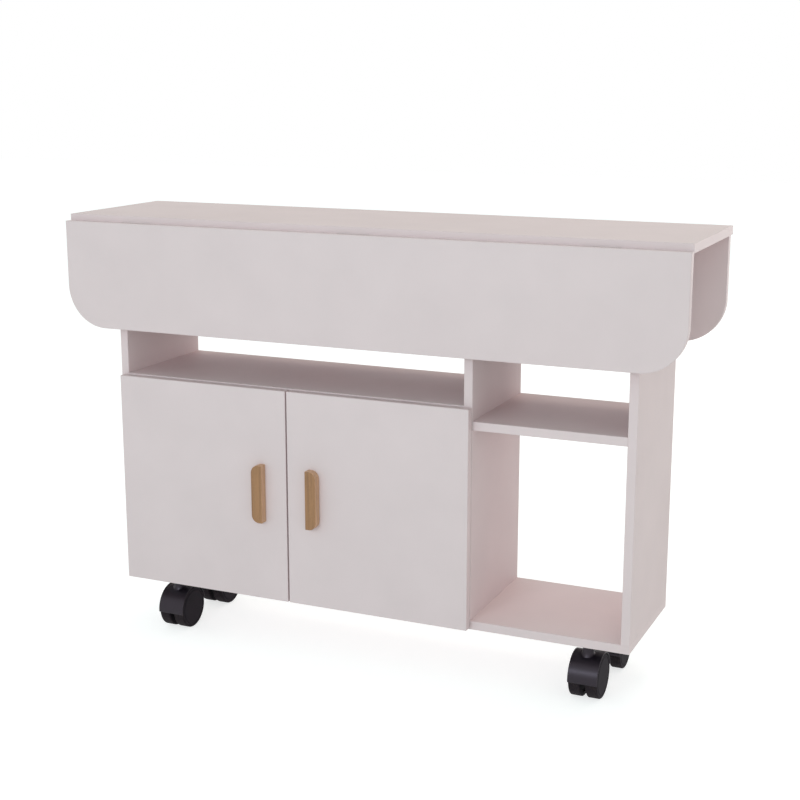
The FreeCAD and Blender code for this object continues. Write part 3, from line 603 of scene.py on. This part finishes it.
def hinge_middles(side):
    """Places in x of the hinges along a leaf."""
    low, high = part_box(side + "_hinge_leaf_plates")
    return np.linspace(low.x + HINGE_LENGTH / 2, high.x - HINGE_LENGTH / 2, HINGES)


def hinge_beds(side):
    """For each hinge along a leaf: its ends in x, the foot of its plate, the floor of the notch
    for its barrel, the plate's thickness and the notch's depth."""
    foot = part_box(side + "_hinge_leaf_plates")[0].z
    notch_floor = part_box(side + "_hinge_top_plates")[0].z - HINGE_PLAY
    reach = HINGE_LENGTH / 2 + HINGE_PLAY
    return [(x - reach, x + reach, foot, notch_floor, HINGE_PLATE, HINGE_BARREL + HINGE_PLAY)
            for x in hinge_middles(side)]


class TABLE_OT_pulls(bpy.types.Operator):
    """Carve the two beech pulls"""
    bl_idname = "service_table.pulls"
    bl_label = "Beech pulls"

    def execute(self, context):
        sizes = context.scene.st_pulls
        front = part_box("left_handle")[0].y
        # sizes.side is the paler colour of the painted highlight on the pulls' sides
        material = lacquered_beech("lacquered_beech", list(sizes.wood), 0.38, list(sizes.side),
                                   front)
        for side, way in (("left", -1), ("right", 1)):
            low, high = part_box(side + "_handle")
            grid = pull_grid(sizes, (high.x - low.x) / 2, (high.z - low.z) / 2, high.y - low.y)
            middle = ((low.x + high.x) / 2, high.y, (low.z + high.z) / 2)
            placed = to_axes(grid, (way, 0, 0), (0, 0, 1), (0, -1, 0), middle)
            skin(side + "_beech_pull", [placed], material, side + "_door", [side + "_handle"])
        return {"FINISHED"}


def pull_grid(sizes, half, tall, deep):
    """A block whose outline draws in by d at height t: square towards the doors' seam, round on
    the far side.  The front edge is a quarter circle, d = r (1 - cos a) and
    t = deep - r + r sin a."""
    soft = sizes.soft
    foot, hold = 0.4 * MM, 0.3 * MM         # bevel at the door, flat strip beside a rounding
    turns = np.radians(np.arange(0, 91, 10))
    steps = [(foot, 0), (0, foot), (0, 3 * foot), (0, deep - soft - hold)]
    steps += [(soft * (1 - math.cos(a)), deep - soft + soft * math.sin(a)) for a in turns]
    steps += [(soft + hold, deep)]
    seam_corner, least = 1.0 * MM, 0.15 * MM    # radius of the corners towards the seam
    rings = []
    for d, t in steps:
        near, far = max(seam_corner - d, least), sizes.corner - d
        wide, high = half - d, tall - d
        ring = rounded([(-wide, -high, near), (wide, -high, far), (wide, high, far),
                        (-wide, high, near)], step=6)
        rings.append(np.column_stack([ring, np.full(len(ring), t)]))
    return np.array(rings)


class TABLE_OT_wheels(bpy.types.Operator):
    """Mould the eight caster wheels"""
    bl_idname = "service_table.wheels"
    bl_label = "Caster wheels"

    def execute(self, context):
        sizes = context.scene.st_casters
        material = worn_tread("worn_nylon_tread", list(sizes.nylon))
        for caster in CASTERS:
            for side, way in (("left", -1), ("right", 1)):
                node = "%s_%s_wheel" % (caster, side)
                low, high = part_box(node)
                width, radius = high.x - low.x, (high.z - low.z) / 2
                grid = lathe(wheel_profile(width, radius, sizes.tread_edge), 96)
                inner = low.x if way > 0 else high.x
                centre = (inner, (low.y + high.y) / 2, (low.z + high.z) / 2)
                placed = to_axes(grid, (0, 1, 0), (0, 0, 1), (way, 0, 0), centre)
                wheel = skin(node + "_nylon", [placed], material, node, [node],
                             sharp=40)
                mark_tread(wheel.data, centre, radius - sizes.tread_edge)
        return {"FINISHED"}


def mark_tread(mesh, centre, start):
    """Write how worn each point is: 0 on the faces and 1 on the tread, a millimetre past the
    radius start."""
    fade = 1 * MM
    points = np.empty(len(mesh.vertices) * 3)
    mesh.vertices.foreach_get("co", points)
    away = points.reshape(-1, 3) - centre
    reach = np.hypot(away[:, 1], away[:, 2])
    worn = np.clip((reach - start) / fade, 0, 1)
    mesh.attributes.new("worn", "FLOAT", "POINT").data.foreach_set("value", worn)


def wheel_profile(width, radius, edge):
    """(height, radius) round a wheel's section from the floor of its bore, over the hub, the
    dished inner face, the tread and the ringed outer face, to the middle of the outer face."""
    blind = 20.3 * MM                   # depth of the bore
    dish, slope = 3 * MM, 1.5 * MM      # depth of the dished face and run of its slopes
    rim_in = radius - 9 * MM            # where the dish ends
    ring = radius - 5 * MM              # where the ring in the outer face starts
    groove, floor = 0.8 * MM, 1.2 * MM  # the ring's depth and the width of its floor
    fine = 0.25 * MM                    # radius of the ring's corners
    mouth, soft, hollow = 0.4 * MM, 0.6 * MM, 0.8 * MM      # radii in the inner face
    sunk = width - groove
    corners = [(blind, 0, 0), (blind, AXLE_BORE, 0), (0, AXLE_BORE, mouth), (0, HUB, soft),
               (dish, HUB + slope, hollow), (dish, rim_in, hollow),
               (0, rim_in + slope, soft), (0, radius, edge), (width, radius, edge),
               (width, ring, fine), (sunk, ring - groove, fine),
               (sunk, ring - groove - floor, fine), (width, ring - 2 * groove - floor, fine),
               (width, 0, 0)]
    return rounded(corners, closed=False, step=12, hold=0.15 * MM)


class TABLE_OT_hoods(bpy.types.Operator):
    """Mould the four caster hoods with their webs and necks"""
    bl_idname = "service_table.hoods"
    bl_label = "Caster hoods"

    def execute(self, context):
        sizes = context.scene.st_casters
        material = moulded_nylon("moulded_nylon", list(sizes.nylon), 0.7, 0.36)
        for caster in CASTERS:
            node = caster + "_caster_hood"
            low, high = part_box(node)
            axle_low, axle_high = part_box(caster + "_caster_axle")
            plate_low, plate_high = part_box(caster + "_caster_plate")
            axle = np.array((axle_low + axle_high) / 2)
            stem_y = (plate_low.y + plate_high.y) / 2 - axle[1]
            half = (high.x - low.x) / 2
            outer = axle[1] - low.y
            grids = hood_grids(sizes, half, outer, stem_y, high.z - axle[2])
            skin(node + "_nylon", [grid + axle for grid in grids], material, caster + "_caster",
                 [node], sharp=40)
        return {"FINISHED"}


def hood_grids(sizes, half, outer, stem_y, top):
    """Hood, web, hub and neck about the axle.  The hood is a rounded strip (x, r) swept by the
    angle a from the rear lip to the front lip: P = (x, r cos a, r sin a), with the strip drawn
    in to its middle over the last 0.75 mm of each lip.  The neck is a ring of radius r(v) about
    the stem whose foot follows the hood: z = sqrt(R^2 - y^2)."""
    wall = sizes.hood_wall
    inner = outer - wall
    first, last = sizes.rear_lip, math.pi + sizes.front_lip
    inside, outside = 0.5 * MM, 0.9 * MM        # radii of the strip's edges
    strip = rounded([(-half, inner, inside), (-half, outer, outside), (half, outer, outside),
                     (half, inner, inside)], step=15, hold=0.1 * MM)
    nose = 0.75 * MM                            # radius of the lips' rounding
    lip = nose / outer
    around = 78                                 # stations between the lips
    fade = np.radians(np.linspace(0, 90, 5))
    angles = np.concatenate([first + lip * (1 - np.sin(fade[::-1])),
                             np.linspace(first + lip, last - lip, around + 2)[1:-1],
                             last - lip * (1 - np.sin(fade))])
    draw = np.concatenate([np.cos(fade[::-1]), np.ones(around), np.cos(fade)])
    mid_r = (inner + outer) / 2
    r = mid_r + (strip[None, :, 1] - mid_r) * draw[:, None]
    x = strip[None, :, 0] * (1 - (1 - draw[:, None]) * (nose / half))
    a = angles[:, None]
    hood = np.stack([x, r * np.cos(a), r * np.sin(a)], axis=-1)

    across = ((0, 1, 0), (0, 0, 1), (1, 0, 0))  # what is drawn flat stands square to the axle
    web_half, bevel = 4 * MM, 0.4 * MM
    sweep = np.linspace(first, last, 60)
    fan = np.stack([np.cos(sweep), np.sin(sweep)], axis=1) * (inner + wall / 2)
    web_edge = [(bevel, -web_half), (0, bevel - web_half), (0, web_half - bevel),
                (bevel, web_half)]
    web = to_axes(rim(np.vstack([fan, [(0.0, 0.0)]]), web_edge), *across)
    hub = lathe([(-web_half, AXLE_BORE), (-web_half, HUB), (web_half, HUB),
                 (web_half, AXLE_BORE)], 64)

    # flare at the foot, straight neck, cone and flange
    stem, flare, flange = 10 * MM, 3 * MM, 17 * MM
    overlap, sunk = 0.5 * MM, 0.3 * MM          # of cap and neck, and of neck and hood
    neck_top, cone_top = top - 8 * MM, top - 4 * MM
    height = np.array([0, 0.05, 0.15, 0.3, 0.5, 0.7, 0.85, 1.0])
    flare_end = 0.45                            # share of the neck's height
    radius = stem + flare * (1 - np.minimum(height / flare_end, 1)) ** 2
    t = np.linspace(0, 2 * np.pi, 72, endpoint=False)
    y = stem_y + radius[:, None] * np.sin(t)
    foot = np.sqrt((outer - sunk) ** 2 - y ** 2)
    z = foot + (neck_top - foot) * height[:, None]
    neck = np.stack([radius[:, None] * np.cos(t), y, z], axis=-1)
    cap = lathe(rounded([(neck_top - overlap, 9.0 * MM, 0), (neck_top, stem, 0.3 * MM),
                         (cone_top, flange, 1.0 * MM), (top, flange, 0.5 * MM),
                         (top, KINGPIN_BORE, 0)], closed=False, step=15), 72)
    return [hood, web, to_axes(hub, *across), neck, cap + (0, stem_y, 0)]


# (height, radius) in mm down a screw from the middle of its head; height 0 is where it seats
PAN_HEAD, PAN_REACH = 2.2, 3.6
PAN_SCREW = [(-PAN_HEAD, 0), (-PAN_HEAD, 1.0), (-PAN_HEAD, 1.9), (-2.0, 2.6), (-1.4, PAN_REACH),
             (-0.9, PAN_REACH), (0, PAN_REACH), (0, 1.8), (2.5, 1.8), (14, 1.8), (15, 0)]
HINGE_SCREW = [(0.05, 0), (0.05, 0.8), (0.05, 1.5), (0.05, 1.9), (1.0, 1.2), (8.3, 1.2), (9.5, 0)]
BASE_SCREW = [(0.05, 0), (0.05, 1.6), (0.05, 3.4), (0.05, 4.9), (3.5, 3.5), (14, 3.5), (14, 2.5),
              (46, 2.5), (50, 0)]
HINGE_SCREW_EDGE = 2 * MM       # from the middle of a hinge screw to its rim
PULL_SCREW_EXTRA = 13           # mm a pull's screw is longer than a caster's
CASTER_SEAT = 3.5 * MM          # from a caster plate's lowest point to where its screws seat


class TABLE_OT_screws(bpy.types.Operator):
    """Turn the screws of the hinges, casters, pulls and base, each with its cross recess"""
    bl_idname = "service_table.screws"
    bl_label = "Screws"

    def execute(self, context):
        steel = plated_steel("zinc_plated_steel", "#C3C4C6", 0.24, 2.5)
        up = (0, 0, 1)
        spots = []
        for caster in CASTERS:
            low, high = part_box(caster + "_caster_plate")
            mid = (low + high) / 2
            spots += [(mid.x + i * CASTER_SCREW_REACH, mid.y + j * CASTER_SCREW_REACH,
                       low.z + CASTER_SEAT)
                      for i in (-1, 1) for j in (-1, 1)]
        cast("caster_screw_set", PAN_SCREW, spots, up, steel, "carcase", ["caster_screws"])

        stations = [x + third * HINGE_LENGTH / 3 for x in hinge_middles("front")
                    for third in (-1, 0, 1)]
        node = "hinge_top_screws"
        low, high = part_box(node)
        spots = [(x, y, low.z) for x in stations
                 for y in (low.y + HINGE_SCREW_EDGE, high.y - HINGE_SCREW_EDGE)]
        cast("hinge_top_screw_set", HINGE_SCREW, spots, up, steel, "carcase", [node])
        for side, way in (("front", -1), ("rear", 1)):
            node = side + "_hinge_leaf_screws"
            low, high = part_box(node)
            face = high.y if way < 0 else low.y
            spots = [(x, face, (low.z + high.z) / 2) for x in stations]
            cast(side + "_leaf_screw_set", HINGE_SCREW, spots, (0, way, 0), steel,
                 side + "_leaf", [node])

        point = PAN_SCREW[-3][0]
        long_pan = [(h if h <= point else h + PULL_SCREW_EXTRA, r) for h, r in PAN_SCREW]
        for side in ("left", "right"):
            node = side + "_handle_screws"
            low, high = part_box(node)
            spots = [((low.x + high.x) / 2, high.y - PAN_HEAD * MM, z)
                     for z in (low.z + PAN_REACH * MM, high.z - PAN_REACH * MM)]
            cast(side + "_pull_screw_set", long_pan, spots, (0, -1, 0), steel, side + "_door",
                 [node])

        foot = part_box("base_screws")[0].z
        spots = []
        for node in ("left_side_panel", "centre_divider", "right_side_panel"):
            low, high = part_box(node)
            spots += [((low.x + high.x) / 2, y, foot) for y in (-BASE_SCREW_Y, BASE_SCREW_Y)]
        cast("base_screw_set", BASE_SCREW, spots, up, steel, "carcase", ["base_screws"])
        return {"FINISHED"}


def cast(name, profile, spots, axis, material, body, nodes):
    """One screw repeated at each spot.  Its rings are (r cos t, r sin t, h), and within the
    head's middle they sink by depth * cross(t), where cross is 1 on the two bars of the recess
    and 0 between them."""
    h, r = np.array(profile).T * MM
    reach = r[2]                    # the recess ends within this radius
    depth, bar_half, ramp_out = 0.9 * MM, 0.42 * MM, 0.2 * MM
    t = np.linspace(0, 2 * np.pi, 40, endpoint=False)
    inner = np.linspace(0, 0.52, 6) * reach / 0.55
    crown = np.interp(inner, [0, reach], [h[0], h[2]])
    rr = np.concatenate([inner, r[2:]])
    hh = np.concatenate([crown, h[2:]])
    bar = np.minimum(np.abs(np.sin(t)), np.abs(np.cos(t)))
    cross = np.clip(1.6 - bar[None] * rr[:, None] / bar_half, 0, 1)
    fade = np.clip((reach * 0.96 - rr) / ramp_out, 0, 1)[:, None]
    sink = hh[:, None] + depth * cross * fade
    one = np.stack([np.outer(rr, np.cos(t)), np.outer(rr, np.sin(t)), sink], axis=-1)
    along = np.array(axis, float)
    side = np.array((1.0, 0, 0))
    grids = [to_axes(one, side, np.cross(along, side), along, spot) for spot in spots]
    skin(name, grids, material, body, nodes, sharp=30)


class TABLE_OT_bumpers(bpy.types.Operator):
    """Cast the four soft bumpers behind the doors"""
    bl_idname = "service_table.bumpers"
    bl_label = "Door bumpers"

    def execute(self, context):
        material = clear_polyurethane()
        for side in ("left", "right"):
            node = side + "_door_bumpers"
            low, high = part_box(node)
            radius, height = (high.x - low.x) / 2, high.y - low.y
            # drop-shaped: h = height * sqrt(1 - (r / radius)^2)
            turn = np.radians(np.linspace(0, 90, 9))
            dome = np.stack([height * np.sin(turn), radius * np.cos(turn)], axis=1)
            grid = lathe(np.vstack([[(0, 0)], dome]), 40)
            x = (low.x + high.x) / 2
            grids = [to_axes(grid, (1, 0, 0), (0, 0, -1), (0, 1, 0), (x, low.y, z))
                     for z in (low.z + radius, high.z - radius)]
            skin(side + "_bumper_pair", grids, material, side + "_door", [node])
        return {"FINISHED"}


class TABLE_OT_fittings(bpy.types.Operator):
    """Finish the hinges, cams, plates, axles and dowels"""
    bl_idname = "service_table.fittings"
    bl_label = "Fittings"

    def execute(self, context):
        zinc = plated_steel("zinc_plated_plate", "#BDBFC2", 0.28, 5.0)
        nickel = plated_steel("nickel_plated_steel", "#C9C5BE", 0.16, 9.0)
        diecast = plated_steel("zinc_die_casting", "#A9ABAD", 0.40, 1.2)
        dress([caster + "_caster_plate" for caster in CASTERS], zinc)
        dress([caster + "_caster_axle" for caster in CASTERS] + ["kingpins", "cam_bolts"], zinc)
        dress([side + part for side in ("left", "right") for part in
               ("_hinge_cups", "_hinge_arms")], nickel)
        dress([side + part for side in ("front", "rear") for part in
               ("_hinge_top_plates", "_hinge_leaf_plates", "_hinge_pins")], nickel)
        dress(["cam_locks"], diecast)
        dress(["wooden_dowels"], lacquered_beech("turned_beech_dowel", linear("#C9A577"), 0.6))
        return {"FINISHED"}


# setting of its power: name, colour, diameter, place and the point it looks at, in metres
LAMPS = {
    "key": ("front_softbox", "#EBFAFF", 1.4, (1.5, -3.6, 1.5), (0.1, 0, 0.45)),
    "low": ("low_softbox", "#EAF6FF", 0.55, (-0.45, -3.1, 1.4), (0.3, 0, 0.3)),
    "back": ("back_softbox", "#FFEFE0", 1.3, (0.5, 2.8, 3.9), (0, 0, 0.5)),
    "shelf": ("shelf_softbox", "#FFEFEC", 2.4, (1.4, 3.9, 1.0), (0, 0, 0.5)),
}
# fitted to the photograph's straight edges
CAMERA_PLACE = (1.1204, -2.4711, 1.1076)
CAMERA_TILT, CAMERA_TURN = math.radians(90 - 12.82), math.radians(23.97)
SENSOR_WIDTH = 36               # mm
FLOOR_HALF = 12.0               # metres
FLOOR_TONE, FLOOR_SEEN, FLOOR_LIFT = 0.90, 0.50, 0.70


class TABLE_OT_stage(bpy.types.Operator):
    """Lay the floor, hang the soft lamps and set the camera"""
    bl_idname = "service_table.stage"
    bl_label = "Floor, lamps and camera"

    def execute(self, context):
        stage = context.scene.st_stage
        scene = context.scene
        lay_floor()
        white_sky(scene, stage.sky)
        for power, (name, code, size, place, aim) in LAMPS.items():
            hang_softbox(name, getattr(stage, power), code, size, place, aim)
        camera = bpy.data.cameras.new("table_camera")
        camera.sensor_width = SENSOR_WIDTH
        camera.lens = stage.lens
        holder = bpy.data.objects.new("table_camera", camera)
        holder.location = CAMERA_PLACE
        holder.rotation_euler = (CAMERA_TILT, 0, CAMERA_TURN)
        scene.collection.objects.link(holder)
        scene.camera = holder
        scene.view_settings.view_transform = "Standard"
        return {"FINISHED"}


def hang_softbox(name, power, code, size, place, aim):
    """A round soft lamp that looks at a point."""
    lamp = bpy.data.lights.new(name, "AREA")
    lamp.shape = "DISK"
    lamp.size = size
    lamp.energy = power
    lamp.color = linear(code)[:3]
    holder = bpy.data.objects.new(name, lamp)
    holder.location = place
    away = Vector(place) - Vector(aim)
    holder.rotation_euler = away.to_track_quat("Z", "Y").to_euler()
    bpy.context.scene.collection.objects.link(holder)


def lay_floor():
    """A wide white floor at z = 0.  A camera, glossy or transmitted ray sees it lifted to
    white, and the shadow of the table stays on it."""
    mesh = bpy.data.meshes.new("studio_floor")
    corners = np.array([(-1, -1, 0), (1, -1, 0), (1, 1, 0), (-1, 1, 0)]) * FLOOR_HALF
    mesh.from_pydata(corners, [], [(0, 1, 2, 3)])
    floor = bpy.data.objects.new("studio_floor", mesh)
    bpy.context.scene.collection.objects.link(floor)
    material = bpy.data.materials.new("matt_white_vinyl")
    material.use_nodes = True
    tree = material.node_tree
    tree.nodes.clear()
    matt = add(tree, "ShaderNodeBsdfDiffuse", {"Color": (FLOOR_TONE,) * 3 + (1,)})
    seen = add(tree, "ShaderNodeBsdfDiffuse", {"Color": (FLOOR_SEEN,) * 3 + (1,)})
    lift = add(tree, "ShaderNodeEmission", {"Color": (1, 1, 1, 1), "Strength": FLOOR_LIFT})
    both = add(tree, "ShaderNodeAddShader", {0: seen.outputs[0], 1: lift.outputs[0]})
    mix = add(tree, "ShaderNodeMixShader", {0: direct_ray(tree), 1: matt.outputs[0],
                                            2: both.outputs[0]})
    add(tree, "ShaderNodeOutputMaterial", {0: mix.outputs[0]})
    mesh.materials.append(material)


def direct_ray(tree):
    """1 on a camera, glossy or transmitted ray, else 0."""
    ray = add(tree, "ShaderNodeLightPath").outputs
    seen = maths(tree, "MAXIMUM", ray["Is Camera Ray"], ray["Is Glossy Ray"])
    return maths(tree, "MAXIMUM", seen, ray["Is Transmission Ray"])


def white_sky(scene, strength):
    """Even light from all round, cool in front, neutral behind and dimmer overhead, as the
    photograph has it, and plain white where it is seen."""
    world = bpy.data.worlds.new("studio_sky")
    world.use_nodes = True
    tree = world.node_tree
    tree.nodes.clear()
    way = add(tree, "ShaderNodeTexCoord").outputs["Generated"]
    split = add(tree, "ShaderNodeSeparateXYZ", {0: way})
    level = ramp(tree, spread(tree, split.outputs[1], (-1, 1), (0, 1)),
                 (0.25, linear("#ECFFFF")), (0.85, linear("#F2F2F1")))
    overhead = spread(tree, split.outputs[2], (0.3, 1.0), (0, 1))
    sky = blend(tree, overhead, level, linear("#C9D8D0"))
    light = add(tree, "ShaderNodeBackground", {"Color": sky, "Strength": strength})
    plain = add(tree, "ShaderNodeBackground", {"Color": (1, 1, 1, 1), "Strength": 1.0})
    mix = add(tree, "ShaderNodeMixShader", {0: direct_ray(tree), 1: light.outputs[0],
                                            2: plain.outputs[0]})
    add(tree, "ShaderNodeOutputWorld", {0: mix.outputs[0]})
    scene.world = world


OPERATORS = (TABLE_OT_boards, TABLE_OT_leaves, TABLE_OT_pulls, TABLE_OT_wheels, TABLE_OT_hoods,
             TABLE_OT_screws, TABLE_OT_bumpers, TABLE_OT_fittings, TABLE_OT_stage)


class TABLE_PT_sidebar(bpy.types.Panel):
    """Lists the pieces of the table"""
    bl_idname = "TABLE_PT_sidebar"
    bl_label = "Room Service Table"
    bl_space_type = "VIEW_3D"
    bl_region_type = "UI"
    bl_category = "Service Table"

    def draw(self, context):
        for operator in OPERATORS:
            self.layout.operator(operator.bl_idname)
        for name, group in SETTINGS.items():
            box = self.layout.box()
            for key in group.__annotations__:
                box.prop(getattr(context.scene, name), key)


def register():
    for cls in (*SETTINGS.values(), *OPERATORS, TABLE_PT_sidebar):
        bpy.utils.register_class(cls)
    for name, group in SETTINGS.items():
        setattr(bpy.types.Scene, name, bpy.props.PointerProperty(type=group))


def unregister():
    for name in SETTINGS:
        delattr(bpy.types.Scene, name)
    for cls in (TABLE_PT_sidebar, *reversed(OPERATORS), *reversed(SETTINGS.values())):
        bpy.utils.unregister_class(cls)


def main():
    register()
    bpy.ops.service_table.boards()
    bpy.ops.service_table.leaves()
    bpy.ops.service_table.pulls()
    bpy.ops.service_table.wheels()
    bpy.ops.service_table.hoods()
    bpy.ops.service_table.screws()
    bpy.ops.service_table.bumpers()
    bpy.ops.service_table.fittings()
    bpy.ops.service_table.stage()


if __name__ == "__main__":
    main()
